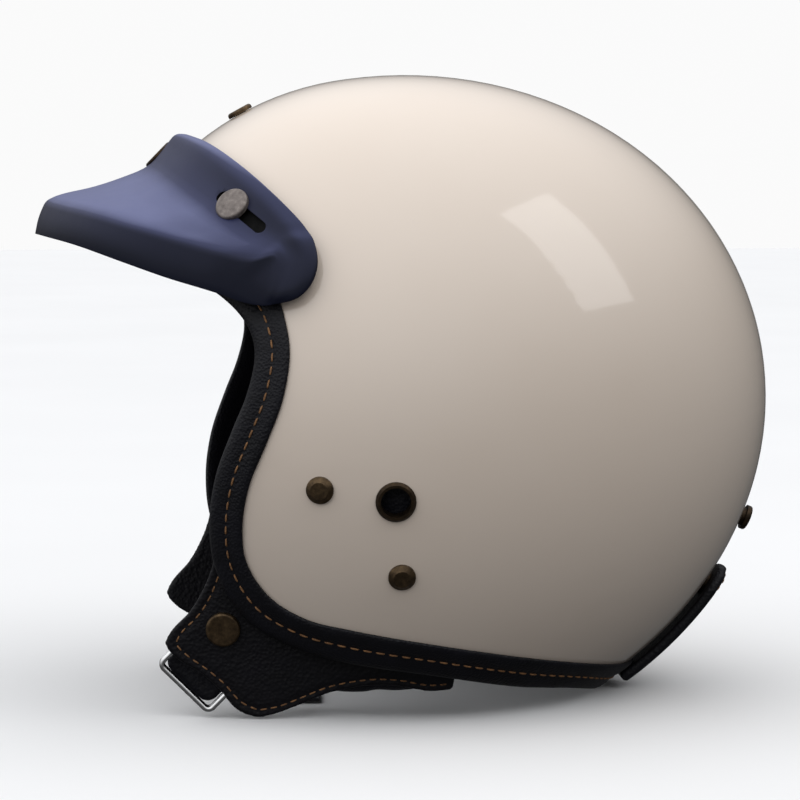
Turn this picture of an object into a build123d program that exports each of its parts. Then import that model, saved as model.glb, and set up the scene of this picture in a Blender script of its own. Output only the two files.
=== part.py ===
from build123d import *
from math import atan2, cos, degrees, radians, sin, sqrt
import os

# Open face motorcycle helmet. Millimetres, +Z up, the face looks along -Y, the
# wearer's left is +X, and the helmet stands on Z = 0.
os.makedirs("parts", exist_ok=True)

# ---- the helmet's egg-shaped body -------------------------------------------
HALF_WIDTH = 119
FRONT_REACH = 135
REAR_REACH = 166
HALF_HEIGHT = 146.5
LEAN = 10  # degrees the body leans, rear end up
CENTRE_Z = 121.5
STAND_Y = -6  # everything is drawn with the body's centre at Y = 0, then moved by this
SHELL_WALL = 4
FAR = 220  # beyond everything
HALF_BALL = (Align.CENTER, Align.MIN, Align.CENTER)

# ---- rim, seen from the side as (Y, Z): the painted shell's edge and the -----
# leather trim's outer edge, point for point, from the brow to the nape
SHELL_LINE = [
    (-124, 207), (-104, 203.5), (-84, 198), (-64, 189.5), (-53, 179.5),
    (-48.6, 166), (-47.4, 154.4), (-50.3, 136.5), (-57.1, 118.2), (-63.8, 101),
    (-66.4, 84), (-64.7, 69), (-55.3, 54.4), (-40.4, 45.3), (-22.6, 41),
    (13.6, 33.9), (51.5, 26.1), (82.4, 19.3), (112, 11.5),
]  # fmt: skip
TRIM_LINE = [
    (-128, 194), (-107, 190.5), (-90, 186), (-76.4, 178.4), (-67, 170),
    (-62.3, 162), (-61.1, 153), (-64.4, 138), (-70.3, 123.3), (-76.9, 104.5),
    (-79.6, 84.5), (-77.2, 65), (-65.5, 44), (-46.2, 32.3), (-25, 26),
    (11, 19.8), (48.5, 11.8), (79, 5.8), (99, -5),
]  # fmt: skip
TRIM_PROUD = 2
TRIM_LEAF = 1.6
SHELL_EDGE_SHARE = 0.7  # the shell ends inside the trim

# ---- lining ------------------------------------------------------------------
PAD_TOP_Z = 116
ROLL_TOP_Z = 44
ROLL_FRONT_Y = 27
LINING_GAP = 0.4
PAD_INNER_X = 44
PAD_OUTER_X = 57
PAD_REAR_OUTER_X = 66
PAD_STEP_Y = -29
LOBE_TOP_Z = 58
PAD_WAIST_Z = 76
PAD_WAIST_X = 73
PAD_FACE_TOP_X = 68
PAD_GAP = 4

# ---- metal fittings ------------------------------------------------------------
RIVET_SPOTS = [(-35.5, 100.5), (-2.3, 64.5)]
RIVET_R = 5.6
SHANK_R = 2.4
EYELET_SPOT = (-5.3, 95.9)
EYELET_R = 8.2
EYELET_BORE_R = 6.1
EYELET_BARREL_R = 6.6
STUD_R = 2.6
CAP_R = 7.2
CAP_T = 2.3
CAP_GAP = 0.9
PEAK_SIDE_SPOT = (-66.3, 210.2)
PEAK_CENTRE_ANGLE = 123.5  # on the centre line, degrees round the body
CROWN_ANGLE = 107.5
REAR_ANGLE = -29.5

# ---- peak ------------------------------------------------------------------------
PEAK_GAP = 1.3
BAND_T = 4.1
PEAK_WALL = 3
SLOT_LENGTH = 32
SLOT_WIDTH = 6.6
SLOT_OFFSET = 5
CAP_SEAT_LENGTH = 6

# ---- chin straps, rings and flaps --------------------------------------------------
STRAP_T = 2
STRAP_WIDTH = 25
STRAP_X = 66
STRAP_HINGE = (-60, 43)
RING_WIRE_R = 1.2
RING_WIDTH = 28.6
RING_LENGTH = 19
RING_BEND_R = 2.6
RING_FROM_HINGE = 23.8
RING_SPLIT = 1.6
FLAP_T = 2.6
FLAP_X = 74  # outer face at Z = 0
FLAP_SPLAY = 0.14
FLAP_BOW_R = 341
FLAP_BOW_Y = -35


def egg(side=0, front=None, rear=None, up=None):
    """The body's closed egg, grown or shrunk: a long rear half and a short front half."""
    front = side if front is None else front
    rear = side if rear is None else rear
    up = side if up is None else up
    halves = []
    for reach, turn in ((REAR_REACH + rear, 0), (FRONT_REACH + front, 180)):
        with BuildPart() as half:
            Sphere(1, arc_size3=180, rotation=(0, 0, turn), align=HALF_BALL)
            scale(by=(HALF_WIDTH + side, reach, HALF_HEIGHT + up))
        halves.append(half.part)
    return Pos(0, 0, CENTRE_Z) * Rot(LEAN, 0, 0) * (halves[0] + halves[1])


def to_body(y, z):
    """A side-view point in the leaning body's own axes."""
    c, s = cos(radians(LEAN)), sin(radians(LEAN))
    return c * y + s * (z - CENTRE_Z), -s * y + c * (z - CENTRE_Z)


def from_body(x, y, z):
    c, s = cos(radians(LEAN)), sin(radians(LEAN))
    return Vector(x, c * y - s * z, s * y + c * z)


def surface_plane(x, y, z, along=None):
    """The plane that touches the body at a point given in the body's own axes, facing out."""
    reach = REAR_REACH if y > 0 else FRONT_REACH
    normal = from_body(x / HALF_WIDTH**2, y / reach**2, z / HALF_HEIGHT**2)
    origin = from_body(x, y, z) + Vector(0, 0, CENTRE_Z)
    return Plane(origin=origin, x_dir=along, z_dir=normal)


def side_spot(y, z, side=1, along=None):
    """The body's touching plane on the left (1) or right (-1) at side-view place y, z."""
    by, bz = to_body(y, z)
    reach = REAR_REACH if by > 0 else FRONT_REACH
    x = HALF_WIDTH * sqrt(1 - (by / reach) ** 2 - (bz / HALF_HEIGHT) ** 2)
    return surface_plane(side * x, by, bz, along)


def crown_spot(angle, along=(1, 0, 0)):
    """The body's touching plane on the centre line, at an angle from its rear end."""
    c, s = cos(radians(angle)), sin(radians(angle))
    reach = REAR_REACH if c > 0 else FRONT_REACH
    return surface_plane(0, reach * c, HALF_HEIGHT * s, along)


def rim_line(share):
    """The line this share of the way from the shell's edge (0) to the trim's edge (1)."""
    return [
        (a + share * (c - a), b + share * (d - b))
        for (a, b), (c, d) in zip(SHELL_LINE, TRIM_LINE)
    ]


def behind(share):
    """Everything on the helmet's side of the rim line at this share."""
    points = rim_line(share)
    with BuildPart() as block:
        with BuildSketch(Plane.YZ):
            with BuildLine():
                Spline(*points)
                Polyline(points[-1], (FAR, points[-1][1]), (FAR, 2 * FAR), (-FAR, 2 * FAR),
                         (-FAR, points[0][1]), points[0])  # fmt: skip
            make_face()
        extrude(amount=FAR, both=True)
    return block.part


def side_prism(points, low_x=-FAR, high_x=FAR, smooth=False):
    """A side-view outline, drawn straight or as a smooth loop, between two X values."""
    with BuildPart() as block:
        with BuildSketch(Plane.YZ.offset(low_x)):
            with BuildLine():
                if smooth:
                    Spline(*points, periodic=True)
                else:
                    Polyline(*points, close=True)
            make_face()
        extrude(amount=high_x - low_x)
    return block.part


def both_sides(left):
    return left, mirror(left, about=Plane.YZ)


def round_end(fitting, plane, radius):
    """Round the outermost circular edge of a fitting standing on this plane."""
    above = plane.origin + plane.z_dir * FAR
    fillet(fitting.edges().filter_by(GeomType.CIRCLE).sort_by_distance(above)[0], radius)


def write(part, name):
    """Name a finished sub-part, stand it midway along Y and export it."""
    part = Pos(0, STAND_Y, 0) * part
    part.label = name
    export_step(part, f"parts/{name}.step")


# ---- outer shell ----------------------------------------------------------------------
rivet_planes = [side_spot(y, z, side) for side in (1, -1) for y, z in RIVET_SPOTS]
eyelet_planes = [side_spot(*EYELET_SPOT, side) for side in (1, -1)]
peak_planes = [
    side_spot(*PEAK_SIDE_SPOT, 1, along=(0.66, 0.48, -0.38)),
    crown_spot(PEAK_CENTRE_ANGLE, along=(0, 1, 1)),
    side_spot(*PEAK_SIDE_SPOT, -1, along=(-0.66, 0.48, -0.38)),
]
crown_plane = crown_spot(CROWN_ANGLE)
rear_plane = crown_spot(REAR_ANGLE)

with BuildPart() as outer_shell:
    add(egg())
    add(egg(-SHELL_WALL), mode=Mode.SUBTRACT)
    add(behind(SHELL_EDGE_SHARE), mode=Mode.INTERSECT)
    for plane in eyelet_planes:
        with Locations(plane):
            Hole(EYELET_BARREL_R + 0.05, depth=FAR / 10)
    for plane in rivet_planes + peak_planes + [crown_plane, rear_plane]:
        with Locations(plane):
            Hole(SHANK_R + 0.05, depth=FAR / 10)
write(outer_shell.part, "outer_shell")

# ---- leather edge trim: one band round the face opening and the base ---------------------
with BuildPart() as edge_trim:
    add(egg(TRIM_PROUD))
    add(egg(-SHELL_WALL - TRIM_LEAF), mode=Mode.SUBTRACT)
    add(behind(1), mode=Mode.INTERSECT)
    add(behind(0), mode=Mode.SUBTRACT)
    with BuildPart(mode=Mode.PRIVATE) as shell_groove:
        add(egg(0.03))
        add(egg(-SHELL_WALL - 0.03), mode=Mode.SUBTRACT)
        add(behind(SHELL_EDGE_SHARE + 0.005), mode=Mode.INTERSECT)
    add(shell_groove.part, mode=Mode.SUBTRACT)
write(edge_trim.part, "edge_trim")

# ---- lining: foam impact liner, comfort liner, neck roll, cheek pads ------------------------
above_pads = side_prism(
    [(-FAR, PAD_TOP_Z + 2), (ROLL_FRONT_Y - 2, PAD_TOP_Z + 2), (ROLL_FRONT_Y - 2, ROLL_TOP_Z + 2),
     (FAR, ROLL_TOP_Z + 2), (FAR, 2 * FAR), (-FAR, 2 * FAR)]
)  # fmt: skip

with BuildPart() as impact_liner:
    add(egg(-SHELL_WALL - LINING_GAP))
    add(egg(-29, front=-27, rear=-36, up=-32), mode=Mode.SUBTRACT)
    add(behind(-0.15), mode=Mode.INTERSECT)
    add(above_pads, mode=Mode.INTERSECT)
    for plane in peak_planes + [crown_plane, rear_plane]:
        with Locations(plane):
            Hole(SHANK_R + 1, depth=9)
write(impact_liner.part, "impact_liner")

with BuildPart() as comfort_liner:
    add(egg(-SHELL_WALL - TRIM_LEAF - LINING_GAP))
    add(egg(-38, front=-34, rear=-46, up=-41), mode=Mode.SUBTRACT)
    add(behind(0.3), mode=Mode.INTERSECT)
    add(above_pads, mode=Mode.INTERSECT)
    with BuildPart(mode=Mode.PRIVATE) as foam_room:
        add(egg(-SHELL_WALL))
        add(egg(-29.3, front=-27.3, rear=-36.3, up=-32.3), mode=Mode.SUBTRACT)
        add(behind(-0.12), mode=Mode.INTERSECT)
    add(foam_room.part, mode=Mode.SUBTRACT)
write(comfort_liner.part, "comfort_liner")

with BuildPart() as neck_roll:
    add(egg(-SHELL_WALL - TRIM_LEAF - LINING_GAP))
    add(egg(-30, rear=-36, up=-24), mode=Mode.SUBTRACT)
    add(behind(0.85), mode=Mode.INTERSECT)
    add(side_prism([(ROLL_FRONT_Y, -5), (FAR, -5), (FAR, ROLL_TOP_Z), (ROLL_FRONT_Y, ROLL_TOP_Z)]),
        mode=Mode.INTERSECT)  # fmt: skip
    with BuildSketch(Plane.XY.offset(-5)):
        Ellipse(66, 74)
    extrude(amount=ROLL_TOP_Z, mode=Mode.SUBTRACT)
write(neck_roll.part, "neck_roll")

PAD_OUTLINE = [
    (-62, 116), (-68, 100), (-71, 84), (-69, 68), (-60, 57), (-48, 42), (-46, 32),
    (-57, 15), (-60, 7), (-54, 3.4), (-44, 3.4), (-35, 4.2), (-15, 5), (7, 7),
    (21, 9.5), (25, 16), (25, 116),
]  # fmt: skip
below_waist = side_prism([(-FAR, PAD_WAIST_Z), (FAR, PAD_WAIST_Z), (FAR, -9), (-FAR, -9)])
below_lobe = side_prism([(-FAR, LOBE_TOP_Z), (FAR, LOBE_TOP_Z), (FAR, -9), (-FAR, -9)])
with BuildPart() as cheek_pad:
    add(side_prism(PAD_OUTLINE, PAD_INNER_X, FAR))
    add(egg(-SHELL_WALL - PAD_GAP), mode=Mode.INTERSECT)
    add(below_waist, mode=Mode.SUBTRACT)
    with BuildPart(mode=Mode.PRIVATE) as waist:
        add(side_prism(PAD_OUTLINE, PAD_INNER_X, PAD_WAIST_X))
        add(below_waist, mode=Mode.INTERSECT)
        add(below_lobe, mode=Mode.SUBTRACT)
    add(waist.part)
    with BuildPart(mode=Mode.PRIVATE) as lower_lobe:
        add(side_prism(PAD_OUTLINE, PAD_INNER_X, PAD_REAR_OUTER_X))
        add(below_lobe, mode=Mode.INTERSECT)
        add(side_prism([(-FAR, -9), (PAD_STEP_Y, -9), (PAD_STEP_Y, FAR), (-FAR, FAR)],
                       PAD_OUTER_X, FAR), mode=Mode.SUBTRACT)  # fmt: skip
    add(lower_lobe.part)
    with BuildSketch(Plane.XZ):
        with BuildLine():
            Polyline((0, -20), (PAD_INNER_X + 2, -20), (PAD_INNER_X + 2, 8), (PAD_FACE_TOP_X, 118),
                     (0, 118), close=True)  # fmt: skip
        make_face()
    extrude(amount=FAR, both=True, mode=Mode.SUBTRACT)
for part, name in zip(both_sides(cheek_pad.part), ("cheek_pad_left", "cheek_pad_right")):
    write(part, name)

# ---- leather cheek flaps, hanging inside the trim ------------------------------------------
FLAP_OUTLINE = [
    (-77.2, 70), (-81.4, 57.7), (-87.6, 46.6), (-95.1, 38.3), (-98, 32), (-93, 25.5),
    (-84, 20), (-76, 13), (-68.5, 4), (-59.5, 0.8), (-51, 2.6), (-42.4, 6), (-30, 11),
    (-13.4, 13.8), (-0.9, 13.2), (11.6, 10.6), (22, 11), (24, 20), (0, 27), (-30, 33),
    (-52, 42), (-66, 58), (-70, 72),
]  # fmt: skip
with BuildPart() as cheek_flap:
    with BuildSketch(Plane.XY.offset(-20)):
        with Locations((FLAP_X - 20 * FLAP_SPLAY - FLAP_BOW_R, FLAP_BOW_Y)):
            Circle(FLAP_BOW_R)
            Circle(FLAP_BOW_R - FLAP_T, mode=Mode.SUBTRACT)
        with Locations((FLAP_X, FLAP_BOW_Y)):
            Rectangle(60, 150, mode=Mode.INTERSECT)
    extrude(amount=110, dir=(FLAP_SPLAY, 0, 1))
    add(side_prism(FLAP_OUTLINE), mode=Mode.INTERSECT)
    with BuildPart(mode=Mode.PRIVATE) as trim_sleeve:
        add(egg(TRIM_PROUD + LINING_GAP))
        add(egg(-SHELL_WALL - TRIM_LEAF - LINING_GAP), mode=Mode.SUBTRACT)
        add(behind(1.03), mode=Mode.INTERSECT)
    add(trim_sleeve.part, mode=Mode.SUBTRACT)
for part, name in zip(both_sides(cheek_flap.part), ("cheek_flap_left", "cheek_flap_right")):
    write(part, name)


def flap_plane(y, z):
    """The plane lying on the left flap's outer face at side-view place y, z."""
    sweep_back = y - FLAP_BOW_Y
    x = FLAP_X + FLAP_SPLAY * z - FLAP_BOW_R + sqrt(FLAP_BOW_R**2 - sweep_back**2)
    return Plane(origin=(x, y, z), z_dir=(1, sweep_back / FLAP_BOW_R, -FLAP_SPLAY))


FLAP_SNAP = (-74, 38.9)
with BuildPart() as flap_snap:
    with BuildSketch(flap_plane(*FLAP_SNAP).offset(0.05)):
        Circle(CAP_R)
    extrude(amount=CAP_T)
    rim = flap_snap.edges().filter_by(GeomType.CIRCLE).sort_by(Axis.X)[-1]
    fillet(rim, 1.1)
for part, name in zip(both_sides(flap_snap.part), ("flap_snap_left", "flap_snap_right")):
    write(part, name)

# ---- eyelets over the ears, rivets of the strap yokes and their washers -----------------------
for plane, name in zip(eyelet_planes, ("ear_eyelet_left", "ear_eyelet_right")):
    with BuildPart() as eyelet:
        with BuildSketch(plane):
            Circle(EYELET_R)
        extrude(amount=0.7)
        with BuildSketch(plane.offset(0.7)):
            Circle(EYELET_R)
        extrude(amount=1.2, taper=40)
        with BuildSketch(plane):
            Circle(EYELET_BARREL_R)
        extrude(amount=-SHELL_WALL - 1.2)
        with Locations(plane):
            Hole(EYELET_BORE_R, depth=30)
    write(eyelet.part, name)

for side, name in ((0, "strap_rivets_left"), (1, "strap_rivets_right")):
    with BuildPart() as rivets:
        for plane in rivet_planes[2 * side : 2 * side + 2]:
            with BuildSketch(plane):
                Circle(RIVET_R)
            extrude(amount=1)
            with BuildSketch(plane.offset(1)):
                Circle(RIVET_R)
            extrude(amount=1.6, taper=52)
            with BuildSketch(plane):
                Circle(SHANK_R)
            extrude(amount=-7.2)
    write(rivets.part, name)

with BuildPart() as rivet_washers:
    for plane in rivet_planes:
        with BuildSketch(plane.offset(-6.9)):
            Circle(6)
            Circle(SHANK_R + 0.03, mode=Mode.SUBTRACT)
        extrude(amount=0.8)
write(rivet_washers.part, "rivet_washers")

# ---- webbing yokes inside the shell, held by the rivets ------------------------------------------
YOKE_FOOT = (-49, 60)
for side, name in ((0, "strap_yoke_left"), (1, "strap_yoke_right")):
    with BuildPart() as yoke:
        add(egg(-SHELL_WALL - 0.2))
        add(egg(-SHELL_WALL - 1.8), mode=Mode.SUBTRACT)
        with BuildPart(mode=Mode.PRIVATE) as legs:
            for y, z in RIVET_SPOTS:
                dy, dz = y - YOKE_FOOT[0], z - YOKE_FOOT[1]
                middle = ((y + YOKE_FOOT[0]) / 2, (z + YOKE_FOOT[1]) / 2)
                with BuildSketch(Plane.YZ.offset(0 if side == 0 else -FAR)):
                    with Locations(Location(middle, degrees(atan2(dz, dy)))):
                        SlotOverall(sqrt(dy * dy + dz * dz) + 20, 20)
                extrude(amount=FAR)
        add(legs.part, mode=Mode.INTERSECT)
        add(behind(-0.1), mode=Mode.INTERSECT)
        for plane in rivet_planes[2 * side : 2 * side + 2]:
            with Locations(plane):
                Hole(SHANK_R + 0.03, depth=20)
    write(yoke.part, name)

# ---- left chin strap: short end with its guard pad and two rings -----------------------------------
strap_plane = Plane(origin=(STRAP_X, *STRAP_HINGE), x_dir=(0, -1, -1), z_dir=(1, 0, 0))
ROOM_R = RING_WIRE_R + 0.35
LOOP_R = ROOM_R + 1.3
with BuildPart() as chin_strap_left:
    with BuildSketch(strap_plane.offset(-STRAP_T / 2)):
        with Locations((RING_FROM_HINGE / 2 - 2, 0)):
            Rectangle(RING_FROM_HINGE, STRAP_WIDTH - 3)
    extrude(amount=STRAP_T)
    loop_plane = Plane(
        origin=strap_plane.from_local_coords((RING_FROM_HINGE, -(STRAP_WIDTH - 3) / 2, 0)),
        x_dir=(1, 0, 0),
        z_dir=strap_plane.y_dir,
    )
    with BuildSketch(loop_plane):
        SlotCenterToCenter(2 * RING_SPLIT, 2 * LOOP_R)
    extrude(amount=STRAP_WIDTH - 3)
    with BuildSketch(loop_plane):
        SlotCenterToCenter(2 * RING_SPLIT, 2 * ROOM_R)
    extrude(amount=STRAP_WIDTH - 3, mode=Mode.SUBTRACT)
write(chin_strap_left.part, "chin_strap_left")

with BuildPart() as ring_guard:
    with BuildSketch(strap_plane.offset(-8)):
        with Locations((21, 0)):
            RectangleRounded(38, STRAP_WIDTH - 3, 4)
    extrude(amount=3.2)
    with BuildSketch(strap_plane.offset(-8)):
        with Locations((6, 0)):
            RectangleRounded(8, STRAP_WIDTH - 4, 1)
    extrude(amount=7 - STRAP_T / 2 + 0.95)
write(ring_guard.part, "ring_guard")

for offset_x, name in ((RING_SPLIT, "d_ring_outer"), (-RING_SPLIT, "d_ring_inner")):
    ring_plane = strap_plane.offset(offset_x)
    near, far, half = RING_FROM_HINGE, RING_FROM_HINGE + RING_LENGTH, RING_WIDTH / 2
    with BuildPart() as ring:
        with BuildLine(ring_plane) as bend:
            FilletPolyline(  # fmt: skip
                (near, half), (far, half), (far, -half), (near, -half),
                radius=RING_BEND_R, close=True,
            )
        with BuildSketch(Plane(origin=bend.line @ 0, z_dir=bend.line % 0)):
            Circle(RING_WIRE_R)
        sweep(path=bend.line)
    write(ring.part, name)

# ---- right chin strap: long end, dropping inside the right flap and lying across the base -----------
LONG_STRAP_Y = (-57, -32)
BEND_R = 10
LIE_Z = 0.4
with BuildPart() as chin_strap_right:
    with BuildSketch(Plane.XZ.offset(-LONG_STRAP_Y[1])):
        with BuildLine():
            top_z, edge = 45, -STRAP_X - STRAP_T / 2
            outside = FilletPolyline(
                (edge, top_z), (edge, LIE_Z), (38, LIE_Z), radius=BEND_R + STRAP_T
            )
            Line(outside @ 1, (38, LIE_Z + STRAP_T))
            inside = FilletPolyline(
                (38, LIE_Z + STRAP_T), (edge + STRAP_T, LIE_Z + STRAP_T), (edge + STRAP_T, top_z),
                radius=BEND_R,
            )  # fmt: skip
            Line(inside @ 1, outside @ 0)
        make_face()
    extrude(amount=LONG_STRAP_Y[1] - LONG_STRAP_Y[0])
write(chin_strap_right.part, "chin_strap_right")

with BuildPart() as strap_tip_snap:
    tip_plane = Plane.XY.offset(LIE_Z + STRAP_T)
    with BuildSketch(tip_plane):
        with Locations((28, sum(LONG_STRAP_Y) / 2)):
            Circle(6.2)
    extrude(amount=2.6)
    fillet(strap_tip_snap.faces().sort_by(Axis.Z)[-1].edges(), 1)
write(strap_tip_snap.part, "strap_tip_snap")

# ---- studs on the shell: three for the peak, one on the crown, one at the back ------------------------
with BuildPart() as peak_studs:
    for plane in peak_planes:
        with BuildSketch(plane.offset(-SHELL_WALL - 2)):
            Circle(SHANK_R)
        extrude(amount=SHELL_WALL + 2 + PEAK_GAP + BAND_T + 1)
write(peak_studs.part, "peak_studs")

cap_low = PEAK_GAP + BAND_T + CAP_GAP
for plane, name in zip(peak_planes, ("peak_cap_left", "peak_cap_centre", "peak_cap_right")):
    with BuildPart() as cap:
        with BuildSketch(plane.offset(cap_low)):
            Circle(CAP_R)
        extrude(amount=CAP_T)
        round_end(cap, plane, 1.1)
        with BuildSketch(plane.offset(cap_low)):
            Circle(SHANK_R + 0.03)
        extrude(amount=1, mode=Mode.SUBTRACT)
    write(cap.part, name)

CROWN_STUD_T = 2.2
with BuildPart() as crown_stud:
    with BuildSketch(crown_plane):
        Circle(RIVET_R)
    extrude(amount=CROWN_STUD_T)
    round_end(crown_stud, crown_plane, 1.3)
    with BuildSketch(crown_plane):
        Circle(SHANK_R)
    extrude(amount=-SHELL_WALL - 2)
write(crown_stud.part, "crown_stud")

REAR_STUD_R = 5.5
with BuildPart() as rear_stud:
    with BuildSketch(rear_plane):
        Circle(REAR_STUD_R)
    extrude(amount=1.2)
    with BuildSketch(rear_plane.offset(1.2)):
        Circle(REAR_STUD_R - 1.6)
    extrude(amount=1.8)
    with BuildSketch(rear_plane.offset(3)):
        Circle(REAR_STUD_R)
    extrude(amount=2.4)
    round_end(rear_stud, rear_plane, 0.9)
    with BuildSketch(rear_plane):
        Circle(SHANK_R)
    extrude(amount=-SHELL_WALL - 2)
write(rear_stud.part, "rear_stud")

# ---- leather goggle tab, sewn to the trim at the nape, with the snap socket inside it ---------------
TAB_HALF_WIDTH = 14
TAB_ROOT_Z = 2.5
TAB_END_ANGLE = -38.5
SOCKET_ANGLE = -42
SOCKET_R = 5.5
tab_end = Plane(origin=crown_spot(TAB_END_ANGLE).origin, x_dir=(1, 0, 0),
                z_dir=crown_spot(TAB_END_ANGLE).z_dir)  # fmt: skip
with BuildPart() as goggle_tab:
    add(egg(7.7))
    add(egg(2.5), mode=Mode.SUBTRACT)
    with BuildPart(mode=Mode.PRIVATE) as tongue:
        with BuildSketch(tab_end):
            with Locations((0, 100)):
                SlotOverall(200, 2 * TAB_HALF_WIDTH, rotation=90)
        extrude(amount=60, both=True)
        add(side_prism([(60, TAB_ROOT_Z), (FAR, TAB_ROOT_Z), (FAR, 90), (90, 90)], -30, 30),
            mode=Mode.INTERSECT)  # fmt: skip
    add(tongue.part, mode=Mode.INTERSECT)
write(goggle_tab.part, "goggle_tab")

with BuildPart() as tab_socket:
    with BuildSketch(crown_spot(SOCKET_ANGLE).offset(1)):
        Circle(SOCKET_R)
        Circle(STUD_R, mode=Mode.SUBTRACT)
    extrude(amount=1.3)
write(tab_socket.part, "tab_socket")

# ---- peak: a band on the brow, held by the three caps through slots, and a hollow brim ---------------
BAND_OUTLINE = [
    (-93, 246), (-86.3, 243.4), (-78.1, 239.9), (-66, 231.2), (-54.2, 220.8), (-42.6, 208.9),
    (-36.8, 200.2), (-35.1, 191.5), (-37.2, 183.3), (-43.2, 176.6), (-51.1, 174.9),
    (-62, 180), (-80, 200), (-104, 222), (-106, 234), (-100, 244),
]  # fmt: skip
BRIM_CENTRE_Y = -61
BRIM_HALF_WIDTH = 106
BRIM_REACH = 92.4
BRIM_SLOPE = 16.7
BRIM_CROWN_R = 146
BRIM_TOP = (-105.8, 228.5)
LIP_HEIGHT = 16
TRIM_ROOM = 1.5
brow_axis = Plane(
    origin=(0, BRIM_TOP[0], BRIM_TOP[1] - BRIM_CROWN_R / cos(radians(BRIM_SLOPE))),
    x_dir=(1, 0, 0),
    z_dir=(0, -cos(radians(BRIM_SLOPE)), -sin(radians(BRIM_SLOPE))),
)


def brim_block(inset, high, low):
    """The brim's plan, inset, between two crowned surfaces this far below its top."""
    with BuildPart() as block:
        with BuildSketch(brow_axis):
            Circle(BRIM_CROWN_R - high)
            Circle(BRIM_CROWN_R - low, mode=Mode.SUBTRACT)
        extrude(amount=FAR, both=True)
        with BuildSketch(Plane.XY.offset(140)):
            with Locations((0, BRIM_CENTRE_Y)):
                Ellipse(BRIM_HALF_WIDTH - inset, BRIM_REACH - inset)
        extrude(amount=140, mode=Mode.INTERSECT)
    return block.part


with BuildPart() as peak:
    add(brim_block(0, 0, LIP_HEIGHT))
    add(brim_block(PEAK_WALL, PEAK_WALL, LIP_HEIGHT + 1), mode=Mode.SUBTRACT)
    add(side_prism([(-FAR, 140), (-50, 140), (-50, 300), (-FAR, 300)]), mode=Mode.INTERSECT)
    with BuildPart(mode=Mode.PRIVATE) as band:
        add(egg(PEAK_GAP + BAND_T))
        add(side_prism(BAND_OUTLINE, smooth=True), mode=Mode.INTERSECT)
    add(band.part)
    add(egg(PEAK_GAP), mode=Mode.SUBTRACT)
    with BuildPart(mode=Mode.PRIVATE) as trim_room:
        add(egg(TRIM_PROUD + TRIM_ROOM))
        add(behind(-0.3), mode=Mode.SUBTRACT)
    add(trim_room.part, mode=Mode.SUBTRACT)
    for plane in peak_planes:
        with BuildSketch(plane.offset(PEAK_GAP + BAND_T)):
            SlotCenterToCenter(CAP_SEAT_LENGTH, 2 * CAP_R + 3)
        extrude(amount=40, mode=Mode.SUBTRACT)
        with BuildSketch(plane.offset(-1)):
            with Locations((SLOT_OFFSET, 0)):
                SlotOverall(SLOT_LENGTH, SLOT_WIDTH)
        extrude(amount=40, mode=Mode.SUBTRACT)
write(peak.part, "peak")
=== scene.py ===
from math import atan2, cos, pi, radians, sin, sqrt

import bmesh
import bpy
import numpy as np
from mathutils import Matrix, Vector


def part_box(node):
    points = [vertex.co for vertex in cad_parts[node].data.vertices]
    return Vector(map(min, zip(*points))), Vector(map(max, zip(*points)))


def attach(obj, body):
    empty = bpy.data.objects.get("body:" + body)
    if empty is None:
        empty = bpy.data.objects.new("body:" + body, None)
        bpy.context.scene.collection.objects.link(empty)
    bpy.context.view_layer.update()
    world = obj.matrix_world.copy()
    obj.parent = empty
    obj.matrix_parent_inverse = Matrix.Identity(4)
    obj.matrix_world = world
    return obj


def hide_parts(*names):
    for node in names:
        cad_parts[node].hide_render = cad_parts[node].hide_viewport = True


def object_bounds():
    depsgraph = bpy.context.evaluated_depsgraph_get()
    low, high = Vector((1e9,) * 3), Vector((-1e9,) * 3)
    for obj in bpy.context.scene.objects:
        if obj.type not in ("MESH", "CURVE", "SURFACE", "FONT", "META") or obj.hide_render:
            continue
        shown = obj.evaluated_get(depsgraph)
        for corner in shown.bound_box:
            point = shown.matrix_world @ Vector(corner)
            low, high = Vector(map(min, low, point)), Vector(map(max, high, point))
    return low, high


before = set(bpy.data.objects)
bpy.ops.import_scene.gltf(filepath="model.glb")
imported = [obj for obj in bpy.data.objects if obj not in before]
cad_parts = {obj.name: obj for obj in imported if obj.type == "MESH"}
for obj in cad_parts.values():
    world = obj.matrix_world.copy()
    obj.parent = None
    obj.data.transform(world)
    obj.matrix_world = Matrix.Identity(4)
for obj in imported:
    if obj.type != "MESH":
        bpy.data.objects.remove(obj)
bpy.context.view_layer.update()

# ---- the helmet's body: an egg in two halves, in millimetres about its own centre ----
HALF_WIDTH, FRONT_REACH, REAR_REACH, HALF_HEIGHT = 119.0, 135.0, 166.0, 146.5
LEAN = radians(10)
CENTRE_Z = 121.5
BACK_Y = sqrt((REAR_REACH * cos(LEAN)) ** 2 + (HALF_HEIGHT * sin(LEAN)) ** 2)
STAND_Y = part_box("outer_shell")[1].y * 1000 - BACK_Y  # the body's centre in the frame

# the rim, seen from the side as (Y, Z): the painted shell's visible edge, and the
# leather trim's outer edge, point for point from brow to nape
SHELL_LINE = [
    (-124, 207), (-104, 203.5), (-84, 198), (-64, 189.5), (-53, 179.5),
    (-48.6, 166), (-47.4, 154.4), (-50.3, 136.5), (-57.1, 118.2), (-63.8, 101),
    (-66.4, 84), (-64.7, 69), (-55.3, 54.4), (-40.4, 45.3), (-22.6, 41),
    (13.6, 33.9), (51.5, 26.1), (82.4, 19.3), (112, 11.5),
]
TRIM_LINE = [
    (-128, 194), (-107, 190.5), (-90, 186), (-76.4, 178.4), (-67, 170),
    (-62.3, 162), (-61.1, 153), (-64.4, 138), (-70.3, 123.3), (-76.9, 104.5),
    (-79.6, 84.5), (-77.2, 65), (-65.5, 44), (-46.2, 32.3), (-25, 26),
    (11, 19.8), (48.5, 11.8), (79, 5.8), (99, -5),
]


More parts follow.
